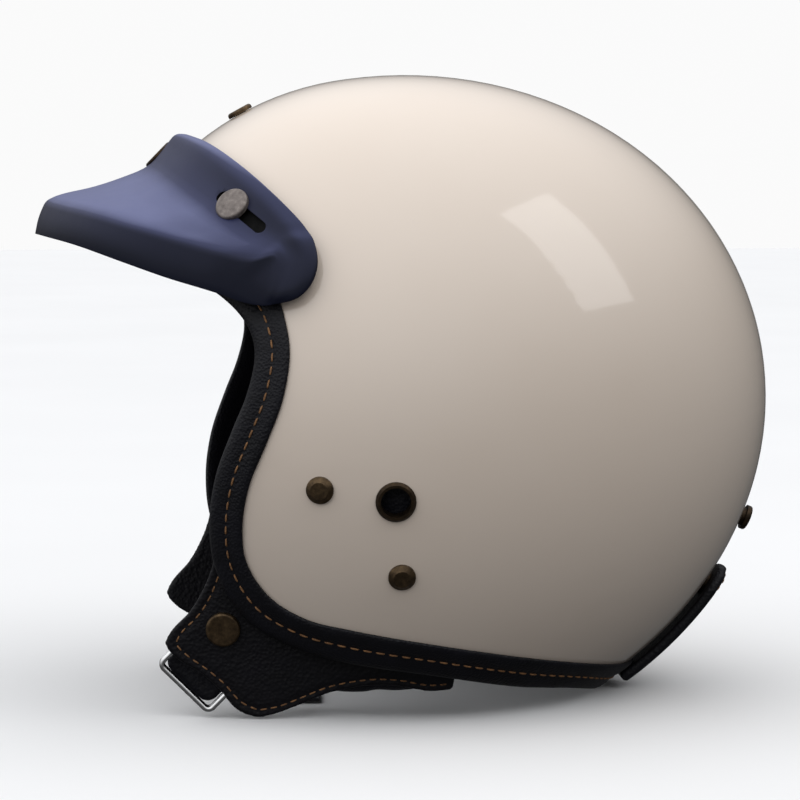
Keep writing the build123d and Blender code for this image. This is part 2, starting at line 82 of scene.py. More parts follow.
def mm(points):
    """Points in millimetres about the body's centre, as metres in the frame."""
    out = np.array(points, float).reshape(-1, 3)
    out[:, 1] += STAND_Y
    return out / 1000


def to_body(y, z):
    c, s = cos(LEAN), sin(LEAN)
    return c * y + s * (z - CENTRE_Z), -s * y + c * (z - CENTRE_Z)


def from_body(p):
    p = np.asarray(p, float)
    c, s = cos(LEAN), sin(LEAN)
    return np.stack([p[..., 0], c * p[..., 1] - s * p[..., 2],
                     s * p[..., 1] + c * p[..., 2] + CENTRE_Z], -1)


def half_width(y, z, grow=0.0):
    """The grown egg's half-width at side-view place y, z; negative past its outline."""
    by, bz = to_body(np.asarray(y, float), np.asarray(z, float))
    reach = np.where(by > 0, REAR_REACH, FRONT_REACH) + grow
    inside = 1 - (by / reach) ** 2 - (bz / (HALF_HEIGHT + grow)) ** 2
    return np.sign(inside) * (HALF_WIDTH + grow) * np.sqrt(np.abs(inside))


def egg_normal(p):
    """Outward normals of the body at points in millimetres."""
    p = np.asarray(p, float).reshape(-1, 3)
    by, bz = to_body(p[:, 1], p[:, 2])
    reach = np.where(by > 0, REAR_REACH, FRONT_REACH)
    n = np.stack([p[:, 0] / HALF_WIDTH**2, by / reach**2, bz / HALF_HEIGHT**2], -1)
    c, s = cos(LEAN), sin(LEAN)
    n = np.stack([n[:, 0], c * n[:, 1] - s * n[:, 2], s * n[:, 1] + c * n[:, 2]], -1)
    return n / np.linalg.norm(n, axis=1)[:, None]


def spline(points, count=None):
    """Points along a smooth curve through the given ones, evenly spaced if counted."""
    p = np.array(points, float)
    ext = np.vstack([2 * p[0] - p[1], p, 2 * p[-1] - p[-2]])
    out = []
    for i in range(1, len(ext) - 2):
        p0, p1, p2, p3 = ext[i - 1], ext[i], ext[i + 1], ext[i + 2]
        a, b, c = (sqrt(np.linalg.norm(q - r)) + 1e-9 for q, r in ((p1, p0), (p2, p1), (p3, p2)))
        m1 = ((p1 - p0) / a - (p2 - p0) / (a + b) + (p2 - p1) / b) * b
        m2 = ((p2 - p1) / b - (p3 - p1) / (b + c) + (p3 - p2) / c) * b
        t = np.linspace(0, 1, 24, endpoint=False)[:, None]
        out.append((2 * t**3 - 3 * t**2 + 1) * p1 + (t**3 - 2 * t**2 + t) * m1
                   + (-2 * t**3 + 3 * t**2) * p2 + (t**3 - t**2) * m2)
    dense = np.vstack(out + [p[-1:]])
    return resample(dense, count) if count else dense


def resample(dense, count, closed=False):
    if closed:
        dense = np.vstack([dense, dense[:1]])
    steps = np.linalg.norm(np.diff(dense, axis=0), axis=1)
    along = np.concatenate([[0], np.cumsum(steps)])
    at = np.linspace(0, along[-1], count + 1 if closed else count)
    if closed:
        at = at[:-1]
    return np.stack([np.interp(at, along, dense[:, k]) for k in range(dense.shape[1])], -1)


def rim_loop(share, grow, count=180):
    """A closed loop round the whole rim on the grown egg, this share of the way across the
    trim; the first point is at the brow on the centre line, and X rises first."""
    line = (1 - share) * np.array(SHELL_LINE, float) + share * np.array(TRIM_LINE, float)
    dense = spline(line, 900)
    run = np.linspace(70, 0.2, 200)[:, None]
    before = dense[0] + run * [-1, 0]
    after = dense[-1] + run[::-1] * [1, 0]
    dense = np.vstack([before, dense, after])
    width = half_width(dense[:, 0], dense[:, 1], grow)
    middle = len(dense) // 2
    first = middle
    while first > 0 and width[first - 1] > 0:
        first -= 1
    last = middle
    while last < len(dense) - 1 and width[last + 1] > 0:
        last += 1
    step = np.linalg.norm(np.diff(dense, axis=0), axis=1)
    along = np.concatenate([[0], np.cumsum(step)])

    def crossing(a, b):
        for _ in range(40):
            m = (a + b) / 2
            p = [np.interp(m, along, dense[:, k]) for k in (0, 1)]
            if half_width(p[0], p[1], grow) > 0:
                b = m
            else:
                a = m
        return (a + b) / 2

    start = crossing(along[first - 1], along[first]) if first > 0 else along[0]
    end = crossing(along[last + 1], along[last]) if last < len(dense) - 1 else along[-1]
    turn = np.linspace(0, pi, count + 1)
    at = start + (end - start) * (1 - np.cos(turn)) / 2
    y = np.interp(at, along, dense[:, 0])
    z = np.interp(at, along, dense[:, 1])
    x = np.maximum(half_width(y, z, grow), 0)
    x[0] = x[-1] = 0
    left = np.stack([x, y, z], -1)
    right = left[-2:0:-1] * [-1, 1, 1]
    return np.vstack([left, right])


# ---- building blocks ----
def vertex_values(mesh, attribute):
    values = np.zeros(len(mesh.vertices) * 3)
    mesh.vertices.foreach_get(attribute, values)
    return values.reshape(-1, 3)


def set_points(mesh, points):
    mesh.vertices.foreach_set("co", points.ravel())
    mesh.update()


def smooth_faces(mesh):
    mesh.polygons.foreach_set("use_smooth", [True] * len(mesh.polygons))


def mesh_object(name, verts, faces, material, body="helmet"):
    """A piece from points in millimetres about the body's centre."""
    mesh = bpy.data.meshes.new(name)
    mesh.from_pydata([tuple(v) for v in mm(verts)], [], faces)
    mesh.validate()
    mesh.update()
    piece = bpy.data.objects.new(name, mesh)
    bpy.context.scene.collection.objects.link(piece)
    piece.data.materials.append(material)
    smooth_faces(mesh)
    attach(piece, body)
    return piece


def grid_faces(rows, columns, wrap_rows=False, wrap_columns=False):
    faces = []
    for r in range(rows if wrap_rows else rows - 1):
        for c in range(columns if wrap_columns else columns - 1):
            r2, c2 = (r + 1) % rows, (c + 1) % columns
            faces.append((r * columns + c, r * columns + c2, r2 * columns + c2, r2 * columns + c))
    return faces


def fix_normals(piece):
    bm = bmesh.new()
    bm.from_mesh(piece.data)
    bmesh.ops.remove_doubles(bm, verts=bm.verts, dist=1e-6)
    bmesh.ops.recalc_face_normals(bm, faces=bm.faces)
    bm.to_mesh(piece.data)
    bm.free()


def apply_modifiers(piece):
    graph = bpy.context.evaluated_depsgraph_get()
    mesh = bpy.data.meshes.new_from_object(piece.evaluated_get(graph))
    piece.modifiers.clear()
    piece.data = mesh


# ---- materials ----
def srgb(r, g, b):
    return tuple(((v / 255 + 0.055) / 1.055) ** 2.4 if v > 10 else v / 255 / 12.92
                 for v in (r, g, b)) + (1,)


class Shader:
    """One node material: a Principled shader with helpers for its procedural detail."""

    def __init__(self, name, roughness=0.5, metallic=0.0, **sockets):
        self.material = bpy.data.materials.new(name)
        self.material.use_nodes = True
        self.nodes = self.material.node_tree.nodes
        self.links = self.material.node_tree.links
        self.bsdf = self.nodes["Principled BSDF"]
        self.bsdf.inputs["Roughness"].default_value = roughness
        self.bsdf.inputs["Metallic"].default_value = metallic
        for key, value in sockets.items():
            self.bsdf.inputs[key.replace("_", " ")].default_value = value
        self.place = self.nodes.new("ShaderNodeTexCoord").outputs["Object"]

    def node(self, kind, inputs=(), **settings):
        made = self.nodes.new(kind)
        for key, value in settings.items():
            setattr(made, key, value)
        for key, value in dict(inputs).items():
            if isinstance(value, bpy.types.NodeSocket):
                self.links.new(value, made.inputs[key])
            else:
                made.inputs[key].default_value = value
        return made

    def noise(self, scale, detail=4.0, rough=0.5):
        made = self.node("ShaderNodeTexNoise", {"Vector": self.place, "Scale": scale,
                                                "Detail": detail, "Roughness": rough})
        return made.outputs["Fac"]

    def cells(self, scale):
        made = self.node("ShaderNodeTexVoronoi", {"Vector": self.place, "Scale": scale})
        return made.outputs["Distance"]

    def ramp(self, fac, stops):
        made = self.node("ShaderNodeValToRGB", {"Fac": fac})
        band = made.color_ramp
        while len(band.elements) < len(stops):
            band.elements.new(0.5)
        for element, (at, colour) in zip(band.elements, stops):
            element.position = at
            element.color = colour if len(colour) == 4 else (*colour, 1)
        return made.outputs["Color"]

    def colour(self, socket):
        self.links.new(socket, self.bsdf.inputs["Base Color"])

    def rough(self, socket, low, high):
        made = self.node("ShaderNodeMapRange", {"Value": socket, "To Min": low, "To Max": high})
        self.links.new(made.outputs["Result"], self.bsdf.inputs["Roughness"])

    def bump(self, *layers):
        """Each layer is (height socket, distance in metres, strength)."""
        last = None
        for height, distance, strength in layers:
            made = self.node("ShaderNodeBump",
                             {"Height": height, "Distance": distance, "Strength": strength})
            if last:
                self.links.new(last, made.inputs["Normal"])
            last = made.outputs["Normal"]
        self.links.new(last, self.bsdf.inputs["Normal"])


def grey(value):
    return (value, value, value)


SHELL_MIDDLE = (0.0, 0.0, 0.135)
INNER_WALL_DARK = (0.012, 0.012, 0.013, 1)


def make_gelcoat():
    """Cream paint outside; the inner wall, whose normals face the middle, is near-black."""
    s = Shader("gelcoat", 0.09, Coat_Weight=0.6, Coat_Roughness=0.03, IOR=1.5)
    paint = s.ramp(s.noise(9, 3), [(0.3, srgb(226, 211, 196)), (0.7, srgb(230, 216, 202))])
    wall = s.node("ShaderNodeNewGeometry")
    outward = s.node("ShaderNodeVectorMath", {0: wall.outputs["Position"], 1: SHELL_MIDDLE},
                     operation="SUBTRACT")
    facing = s.node("ShaderNodeVectorMath", {0: outward.outputs["Vector"],
                                             1: wall.outputs["Normal"]}, operation="DOT_PRODUCT")
    outside = s.node("ShaderNodeMath", {0: facing.outputs["Value"], 1: 100.0, 2: 0.5},
                     operation="MULTIPLY_ADD", use_clamp=True)
    mixed = s.node("ShaderNodeMix", {0: outside.outputs[0], 6: INNER_WALL_DARK, 7: paint},
                   data_type="RGBA")  # sockets 6 and 7 are the colours A and B
    s.colour(mixed.outputs[2])
    s.rough(s.noise(60, 2), 0.07, 0.13)
    s.bump((s.noise(140, 2), 0.0004, 0.012))
    return s.material


def make_leather(name, dark, light, grain=900, crease=0.45):
    s = Shader(name, 0.5, IOR=1.45)
    s.bsdf.inputs["Specular IOR Level"].default_value = 0.3
    s.colour(s.ramp(s.noise(70, 5, 0.6), [(0.32, dark), (0.72, light)]))
    s.rough(s.noise(130, 3), 0.42, 0.62)
    s.bump((s.cells(grain), 0.0006, crease), (s.noise(260, 4, 0.6), 0.0008, 0.25))
    return s.material


def make_peak_plastic():
    """Dark navy moulding with a random mottle, its colour painted lighter the more it faces up: a
    painted sky reflection on the top and painted shade on the sides.
    """
    s = Shader("peak_plastic", 0.42, IOR=1.48, Coat_Weight=0.04, Coat_Roughness=0.36)
    s.bsdf.inputs["Specular IOR Level"].default_value = 0.12
    normal = s.node("ShaderNodeNewGeometry").outputs["Normal"]
    facing = s.node("ShaderNodeSeparateXYZ", {0: normal})
    mottle = s.node("ShaderNodeMath", {0: s.noise(24, 5), 1: 0.12}, operation="MULTIPLY")
    # painted light: how far the surface faces up sets the colour, a painted sky reflection on the
    # top and painted shade on the sides; the mottle is random tone
    painted_top_light_and_mottle = s.node("ShaderNodeMath", {0: facing.outputs["Z"], 1: mottle.outputs[0]},
                   operation="ADD")
    s.colour(s.ramp(painted_top_light_and_mottle.outputs[0], [(0.2, srgb(20, 23, 38)), (0.55, srgb(38, 41, 62)),
                                       (0.85, srgb(54, 58, 88)), (1.0, srgb(100, 105, 142))]))
    s.rough(s.noise(160, 3), 0.38, 0.48)
    s.bump((s.noise(900, 2), 0.0002, 0.10), (s.noise(45, 3), 0.0006, 0.05))
    return s.material


# near-black for the peak's slot floors: painted shade where the plastic under each cap lies in
# shadow
def make_slot_shade():
    s = Shader("painted_slot_shade", 0.8)
    s.bsdf.inputs["Specular IOR Level"].default_value = 0.1
    s.colour(s.ramp(s.noise(300, 3), [(0.3, grey(0.003)), (0.7, grey(0.006))]))
    s.bump((s.noise(500, 3), 0.0003, 0.2))
    return s.material


def make_bronze(name="bronze", dark=(58, 46, 33), light=(112, 92, 66), roughness=(0.3, 0.55),
                metallic=0.85):
    s = Shader(name, 0.4, metallic)
    middle = tuple((a + b) / 2 for a, b in zip(dark, light))
    s.colour(s.ramp(s.noise(420, 5, 0.65), [(0.3, srgb(*dark)), (0.55, srgb(*middle)),
                                            (0.75, srgb(*light))]))
    s.rough(s.noise(300, 4), *roughness)
    s.bump((s.noise(700, 4), 0.0003, 0.18))
    return s.material


def make_thread():
    s = Shader("thread", 0.75)
    s.colour(s.ramp(s.noise(800, 3), [(0.3, srgb(104, 72, 44)), (0.7, srgb(150, 108, 68))]))
    wave = s.node("ShaderNodeTexWave", {"Vector": s.place, "Scale": 900.0, "Distortion": 2.0})
    s.bump((wave.outputs["Fac"], 0.0002, 0.4))
    return s.material


def make_weave(name, dark, light, scale=420):
    """Woven cloth or webbing: crossed ribs from two waves."""
    s = Shader(name, 0.8)
    s.bsdf.inputs["Sheen Weight"].default_value = 0.15
    ribs = []
    for direction in ("X", "Y", "Z"):
        wave = s.node("ShaderNodeTexWave", {"Vector": s.place, "Scale": float(scale),
                                            "Distortion": 0.4}, bands_direction=direction)
        ribs.append(wave.outputs["Fac"])
    cross = s.node("ShaderNodeMath", {0: ribs[0], 1: ribs[1]}, operation="MULTIPLY")
    both = s.node("ShaderNodeMath", {0: cross.outputs[0], 1: ribs[2]}, operation="ADD")
    s.colour(s.ramp(both.outputs[0], [(0.1, dark), (0.9, light)]))
    s.bump((both.outputs[0], 0.0005, 0.5), (s.noise(180, 3), 0.0006, 0.15))
    return s.material


def make_chrome():
    s = Shader("chrome", 0.12, 1.0)
    s.colour(s.ramp(s.noise(200, 3), [(0.3, grey(0.62)), (0.7, grey(0.78))]))
    s.rough(s.noise(500, 4), 0.08, 0.22)
    s.bump((s.noise(900, 2), 0.0001, 0.06))
    return s.material


def make_foam():
    s = Shader("bead_foam", 0.85)
    s.colour(s.ramp(s.cells(260), [(0.0, grey(0.035)), (0.8, grey(0.012))]))
    s.bump((s.cells(260), 0.0009, 0.5))
    return s.material


GELCOAT = make_gelcoat()
TRIM_LEATHER = make_leather("trim_leather", srgb(8, 8, 13), srgb(15, 15, 23))
FLAP_LEATHER = make_leather("flap_leather", srgb(7, 6, 10), srgb(13, 12, 18), grain=700)
PAD_LEATHER = make_leather("pad_leather", srgb(13, 13, 19), srgb(25, 25, 34), grain=800)
PEAK_PLASTIC = make_peak_plastic()
SLOT_SHADE = make_slot_shade()
BRONZE = make_bronze()
PEWTER = make_bronze("aged_pewter", (92, 84, 80), (146, 137, 131), (0.3, 0.5), 0.35)
# a darker copy of the bronze; on the centre peak cap and the rear stud it is painted shade, as
# those are the same metal as the pewter side caps and the bronze crown stud
DARK_BRONZE_AND_SHADE = make_bronze("dark_bronze_and_painted_shade", (36, 28, 20), (78, 62, 44), (0.35, 0.6))
THREAD = make_thread()
WEBBING = make_weave("webbing", srgb(12, 12, 16), srgb(38, 38, 46), 520)
LINING = make_weave("lining_cloth", srgb(30, 30, 38), srgb(62, 62, 74), 300)
CHROME = make_chrome()
FOAM = make_foam()

for node, material in {
    "outer_shell": GELCOAT, "impact_liner": FOAM, "ear_eyelet_left": DARK_BRONZE_AND_SHADE,
    "ear_eyelet_right": DARK_BRONZE_AND_SHADE, "strap_rivets_left": BRONZE, "strap_rivets_right": BRONZE,
    "rivet_washers": BRONZE, "strap_yoke_left": WEBBING, "strap_yoke_right": WEBBING,
    "chin_strap_left": WEBBING, "chin_strap_right": WEBBING, "strap_tip_snap": BRONZE,
    "d_ring_outer": CHROME, "d_ring_inner": CHROME, "ring_guard": PAD_LEATHER,
    "flap_snap_left": BRONZE, "flap_snap_right": BRONZE, "peak_studs": DARK_BRONZE_AND_SHADE,
    # the centre cap gets the darker bronze as painted shade; it is the same cap as the pewter side
    # caps
    "peak_cap_left": PEWTER, "peak_cap_centre": DARK_BRONZE_AND_SHADE, "peak_cap_right": PEWTER,
    # the rear stud gets the darker bronze as painted shade; it is brass like the crown stud
    "crown_stud": BRONZE, "rear_stud": DARK_BRONZE_AND_SHADE, "tab_socket": DARK_BRONZE_AND_SHADE,
}.items():
    node_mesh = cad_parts[node].data
    node_mesh.materials.clear()
    node_mesh.materials.append(material)
    smooth_faces(node_mesh)


# ---- stitching ----
def add_stitches(name, path, normals, body, pitch=5.4, length=4.2, width=0.85, closed=False):
    """Thread stitches along a path in millimetres, each a flattened bead on the surface."""
    path = np.array(path, float)
    ring = path if not closed else np.vstack([path, path[:1]])
    gap = np.linalg.norm(np.diff(ring, axis=0), axis=1)
    along = np.concatenate([[0], np.cumsum(gap)])
    total = along[-1]
    count = max(1, round(total / pitch))
    normals = np.array(normals, float)
    if closed:
        normals = np.vstack([normals, normals[:1]])
    verts, faces = [], []
    sections, sides = 7, 8

    def point(at):
        return np.array([np.interp(at, along, ring[:, k]) for k in range(3)])

    for i in range(count):
        middle = (i + 0.5) * total / count
        low, high = point(max(0, middle - length / 2)), point(min(total, middle + length / 2))
        n = np.array([np.interp(middle, along, normals[:, k]) for k in range(3)])
        tangent = (high - low) / max(np.linalg.norm(high - low), 1e-6)
        n = n - tangent * n.dot(tangent)
        n /= np.linalg.norm(n)
        side = np.cross(n, tangent)
        base = len(verts)
        for k in range(sections):
            f = k / (sections - 1)
            bulge = sqrt(max(0.0, 1 - (2 * f - 1) ** 2)) * 0.72 + 0.28 * (0 < f < 1)
            centre = low + (high - low) * f + n * (0.42 * bulge - 0.3)
            for j in range(sides):
                a = 2 * pi * j / sides
                verts.append(centre + side * cos(a) * width / 2 * bulge
                             + n * sin(a) * width * 0.42 * bulge)
        for k in range(sections - 1):
            for j in range(sides):
                j2 = (j + 1) % sides
                faces.append((base + k * sides + j, base + k * sides + j2,
                              base + (k + 1) * sides + j2, base + (k + 1) * sides + j))
    fix_normals(mesh_object(name, verts, faces, THREAD, body))


# ---- edge trim: one rolled leather binding round the whole rim ----
TRIM_PROFILE = [  # (share across, height off the shell), outside, round the edge, and inside
    (0.0, 0.08), (-0.01, 0.7), (0.015, 1.35), (0.07, 1.8), (0.2, 1.95), (0.36, 1.85),
    (0.45, 1.5), (0.5, 1.35), (0.55, 1.5), (0.66, 1.85), (0.82, 1.95), (0.93, 1.6),
    (0.985, 0.7), (1.0, -0.8), (1.0, -3.2), (0.975, -4.8), (0.9, -5.55), (0.6, -5.6),
    (0.2, -5.6), (0.03, -5.5), (0.0, -5.0), (0.0, -4.1), (0.71, -4.1), (0.71, 0.08),
]


def build_trim():
    loops = [rim_loop(share, grow) for share, grow in TRIM_PROFILE]
    count = len(loops[0])
    verts = np.vstack(loops)
    piece = mesh_object("edge_binding", verts,
                        grid_faces(len(loops), count, wrap_rows=True, wrap_columns=True),
                        TRIM_LEATHER, "helmet")
    fix_normals(piece)
    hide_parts("edge_trim")
    seam = resample(rim_loop(0.5, 1.5, 500), 1400, closed=True)
    add_stitches("binding_stitches", seam, egg_normal(seam), "helmet", closed=True)


build_trim()

# ---- peak: one moulded sheet lofted between curves from the centre line to its side lobes ----
LOBE = (107.5, -54.0, 174.6)
PEAK_CURVES = {  # each from the centre line to the lobe, matched point for point
    "rear_foot": [(0, -88.6, 238.2), (16.2, -86.4, 237.8), (41.3, -78.5, 234.7),
                  (64.7, -66.4, 226.4), (80.7, -54.9, 216.6), (93.1, -43.6, 205.4),
                  (96.4, -40.4, 201.4), (99.3, -38, 197.2), (104, -36.4, 189.5),
                  (106.6, -38.6, 182.6), (107.8, -44.5, 177)],
    "rear_edge": [(0, -88, 243), (19.5, -86, 242.7), (43.2, -77.7, 239.2), (66.2, -65.7, 230.7),
                  (82.9, -53.9, 220.3), (95.6, -42.5, 208.5), (99.3, -39.4, 204.3),
                  (103, -36.8, 199.9), (107.4, -35.2, 191.4), (110.1, -37.4, 183.4),
                  (110.6, -44, 176.6)],
    "bevel": [(0, -92.7, 243.4), (18.1, -90.8, 242.5), (44, -82.7, 238.4), (66.8, -71.1, 229.4),
              (83.3, -59.8, 219.1), (95.9, -49.5, 208), (99.5, -46.3, 204.3), (104, -43.6, 200.2),
              (107.7, -41, 192.6), (110.3, -41.8, 184.6), (110.4, -46.5, 177.8)],
    "front_of_band": [(0, -98.9, 235.3), (17.2, -97.3, 235), (46.3, -88.9, 229.8),
                      (68.2, -76.9, 221), (83.6, -65.7, 211.6), (94.8, -55.4, 203.1),
                      (98, -52.3, 201), (100.7, -49.5, 198.8), (106.2, -45.6, 192),
                      (108.9, -46.2, 184.6), (109.9, -49.6, 178.2)],
    "saddle": [(0, -104.6, 228.6), (24.2, -103, 227.2), (51.5, -94.1, 221.9), (73.4, -81.8, 213),
               (87, -70.4, 205.6), (95.7, -60.9, 200), (99.5, -55.7, 197.9), (102.8, -51.4, 196.2),
               (106.4, -47.4, 190.2), (108.6, -48.6, 184), (109.4, -51.4, 178.2)],
    "brim": [(0, -126, 220.6), (30, -122.5, 219.6), (60, -110.6, 215.4), (81, -94, 208.9),
             (92.6, -79.4, 202), (99.4, -66.6, 197.2), (101.8, -59.4, 195.2), (103.4, -53, 195.2),
             (106.3, -49.6, 189.4), (108.1, -50.6, 183.6), (108.9, -52.6, 178)],
    "nose": [(0, -142.3, 217.4), (32.2, -138, 216.3), (62.9, -124.3, 212.9), (83.5, -106.7, 207.2),
             (94.5, -90.3, 201.5), (100.8, -74.5, 196.3), (102.8, -61.2, 193.8), (104, -53, 194.4),
             (106.2, -51.6, 188.7), (107.7, -52.4, 183.3), (108.4, -53.8, 178)],
    "crease": [(0, -148.6, 214.4), (33, -144, 213.2), (64, -129.6, 210.2), (84.5, -111.6, 205.2),
               (95.2, -94.6, 200.2), (101.4, -77.6, 195.2), (103.9, -63, 192), (104.5, -53, 193.6),
               (106, -53.6, 188), (107.3, -54.2, 183), (108, -55, 178)],
    "lip_mid": [(0, -151.8, 207.4), (34, -147.2, 206.2), (66.4, -132, 203.2),
                (86.6, -113.4, 197.2), (97, -96, 191.6), (102.3, -82, 187.6),
                (104.2, -72.5, 184.4), (105.2, -65.4, 181.4), (105.9, -61.6, 179),
                (106.5, -59, 177.2), (107.2, -56.6, 175.6)],
    "lip_foot": [(0, -153.2, 200.4), (35, -148.2, 200.1), (67.6, -132.4, 196.8),
                 (87.6, -113.2, 190.6), (97.9, -95.8, 184.8), (103, -82, 180.8),
                 (104.5, -74, 178.3), (105.3, -68.4, 176.2), (105.9, -63.6, 174.9),
                 (106.4, -60, 174.3), (107, -57, 174.1)],
}
PEAK_ROUNDING = (1.5, 3, 7, 7, 16, 8, 2, 7)  # at each curve between the first and last
PEAK_WALL = 3.0
CALM_FROM, CALM_OVER, CALM_PASSES = 0.62, 0.16, 14  # the lobes are smoothed further
SLOT_DEPTH, SLOT_HALF_WIDTH, SLOT_ABOVE = 2.4, 2.8, 14


def peak_surface(across=6):
    """The peak's outer surface as rows from the rear edge to the lip, each row going from
    the right lobe over the centre line to the left lobe."""
    rows = []
    for points in PEAK_CURVES.values():
        points = points + [LOBE]
        mirrored = [(-x, y, z) for x, y, z in points[:0:-1]]
        rows.append(spline(mirrored + points))
    rows = np.array(rows)
    columns = rows.shape[1]
    fade = np.sin(np.linspace(0, pi, columns)) ** 0.5
    dense = [rounded_section(rows[:, c], fade[c], across) for c in range(0, columns, 3)]
    grid = np.array(dense).transpose(1, 0, 2)
    near = np.linspace(-1, 1, grid.shape[1])
    share = np.clip((np.abs(near) - CALM_FROM) / CALM_OVER, 0, 1)[None, :, None]
    calm = grid.copy()
    for _ in range(CALM_PASSES):
        calm[1:-1, 1:-1] = (2 * calm[1:-1, 1:-1] + calm[:-2, 1:-1] + calm[2:, 1:-1]
                            + calm[1:-1, :-2] + calm[1:-1, 2:]) / 6
    return grid + (calm - grid) * share


def rounded_section(corners, fade, across):
    """A polyline across the peak with each inner corner rounded to its own radius."""
    line = [corners[0]]
    for before, corner, after, radius in zip(corners, corners[1:], corners[2:], PEAK_ROUNDING):
        reach_in = min(radius * fade + 0.05, 0.48 * np.linalg.norm(before - corner))
        reach_out = min(radius * fade + 0.05, 0.48 * np.linalg.norm(after - corner))
        start = corner + (before - corner) * reach_in / (np.linalg.norm(before - corner) + 1e-9)
        end = corner + (after - corner) * reach_out / (np.linalg.norm(after - corner) + 1e-9)
        for t in np.linspace(0, 1, across):
            line.append((1 - t) ** 2 * start + 2 * t * (1 - t) * corner + t**2 * end)
    line.append(corners[-1])
    return np.array(line)


def build_peak():
    grid = peak_surface()
    rows, columns = grid.shape[:2]
    piece = mesh_object("peak_moulding", grid.reshape(-1, 3), grid_faces(rows, columns),
                        PEAK_PLASTIC, "peak")
    bm = bmesh.new()
    bm.from_mesh(piece.data)
    bmesh.ops.remove_doubles(bm, verts=bm.verts, dist=2e-5)
    bmesh.ops.recalc_face_normals(bm, faces=bm.faces)
    top = max(bm.faces, key=lambda f: f.calc_center_median().z)
    if top.normal.z < 0:
        bmesh.ops.reverse_faces(bm, faces=bm.faces)
    bm.to_mesh(piece.data)
    bm.free()
    wall = piece.modifiers.new("wall", "SOLIDIFY")
    wall.thickness = PEAK_WALL / 1000
    wall.offset = -1
    wall.use_even_offset = False
    apply_modifiers(piece)
    for cap in ("peak_cap_left", "peak_cap_centre", "peak_cap_right"):
        cut_slot(piece, cap)
    rounded = piece.modifiers.new("rounded", "BEVEL")
    rounded.width = 0.0005
    rounded.segments = 2
    rounded.limit_method = "ANGLE"
    rounded.angle_limit = radians(50)
    apply_modifiers(piece)
    smooth_faces(piece.data)
    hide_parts("peak")


def cap_axis(node):
    """Centre and outward normal of a snap cap, from its box and the body's shape."""
    lo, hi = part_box(node)
    centre = (lo + hi) / 2 * 1000
    centre.y -= STAND_Y
    normal = Vector(egg_normal([tuple(centre)])[0])
    return centre, normal


def cap_floor(piece, start, normal):
    """The peak's surface under a point, straight down the cap's axis, in millimetres."""
    hit, place, _, _ = piece.ray_cast(start, -normal)
    place = (place if hit else start - normal * 0.009) * 1000
    place.y -= STAND_Y
    return place


def cut_slot(piece, cap):
    """The adjusting slot under a cap: a rounded recess in the band, its floor painted near-black
    as painted shade.
    """
    centre, normal = cap_axis(cap)
    if abs(centre.x) < 1:
        along, half_length, shift = Vector((0, 1, 1)), 7.0, 0.0
    else:
        along = Vector((0.66 if centre.x > 0 else -0.66, 0.48, -0.38))
        half_length, shift = 12.8, 5.0
    along = (along - normal * along.dot(normal)).normalized()
    side = normal.cross(along)
    start = Vector(mm([tuple(centre + normal * 6)])[0])
    below = (centre + normal * 6 - cap_floor(piece, start, normal)).dot(normal) - 6
    middle = centre + along * shift
    outline = []
    for k in range(24):
        a = 2 * pi * k / 24
        reach = half_length if cos(a) > 0 else -half_length
        outline.append(along * (reach + SLOT_HALF_WIDTH * cos(a))
                       + side * SLOT_HALF_WIDTH * sin(a))
    verts = [middle + p + normal * h for h in (-below - SLOT_DEPTH, SLOT_ABOVE) for p in outline]
    n = len(outline)
    faces = [tuple(range(n))[::-1], tuple(range(n, 2 * n))]
    faces += [(k, (k + 1) % n, n + (k + 1) % n, n + k) for k in range(n)]
    cutter = mesh_object("slot_cutter", [tuple(v) for v in verts], faces, SLOT_SHADE, "peak")
    fix_normals(cutter)
    cut = piece.modifiers.new("slot", "BOOLEAN")
    cut.operation = "DIFFERENCE"
    cut.solver = "MANIFOLD"
    # the cutter's near-black material goes onto the recess's new faces as painted shade
    cut.material_mode = "TRANSFER"
    cut.object = cutter
    apply_modifiers(piece)
    bpy.data.objects.remove(cutter, do_unlink=True)


build_peak()

# ---- flat leather: flaps, with their seams ----
FLAP_X, FLAP_SPLAY, FLAP_BOW_R, FLAP_BOW_Y, FLAP_T = 74.0, 0.14, 341.0, -35.0, 2.6
FLAP_OUTLINE = [
    (-77.2, 70), (-81.4, 57.7), (-87.6, 46.6), (-95.1, 38.3), (-98, 32), (-93, 25.5),
    (-84, 20), (-76, 13), (-68.5, 4), (-59.5, 0.8), (-51, 2.6), (-42.4, 6), (-30, 11),
    (-13.4, 13.8), (-0.9, 13.2), (11.6, 10.6), (22, 11), (24, 20), (0, 27), (-30, 33),
    (-52, 42), (-66, 58), (-70, 72),
]
FLAP_FRONT_SEAM = [(-75.6, 62), (-79.5, 52), (-84.6, 44), (-91, 37.4), (-93.4, 32.4), (-89, 27.4),
                   (-81.4, 22), (-73.6, 15.4), (-66.6, 7.4), (-59.4, 4)]
FLAP_HEM_SEAM = [(-59.4, 4), (-51, 5.6), (-42.4, 9), (-30, 13.9), (-13.4, 16.6), (-0.9, 16),
                 (11.6, 13.4), (20, 13.6)]


def flap_x(y, z):
    return FLAP_X + FLAP_SPLAY * z - FLAP_BOW_R + np.sqrt(FLAP_BOW_R**2 - (y - FLAP_BOW_Y) ** 2)


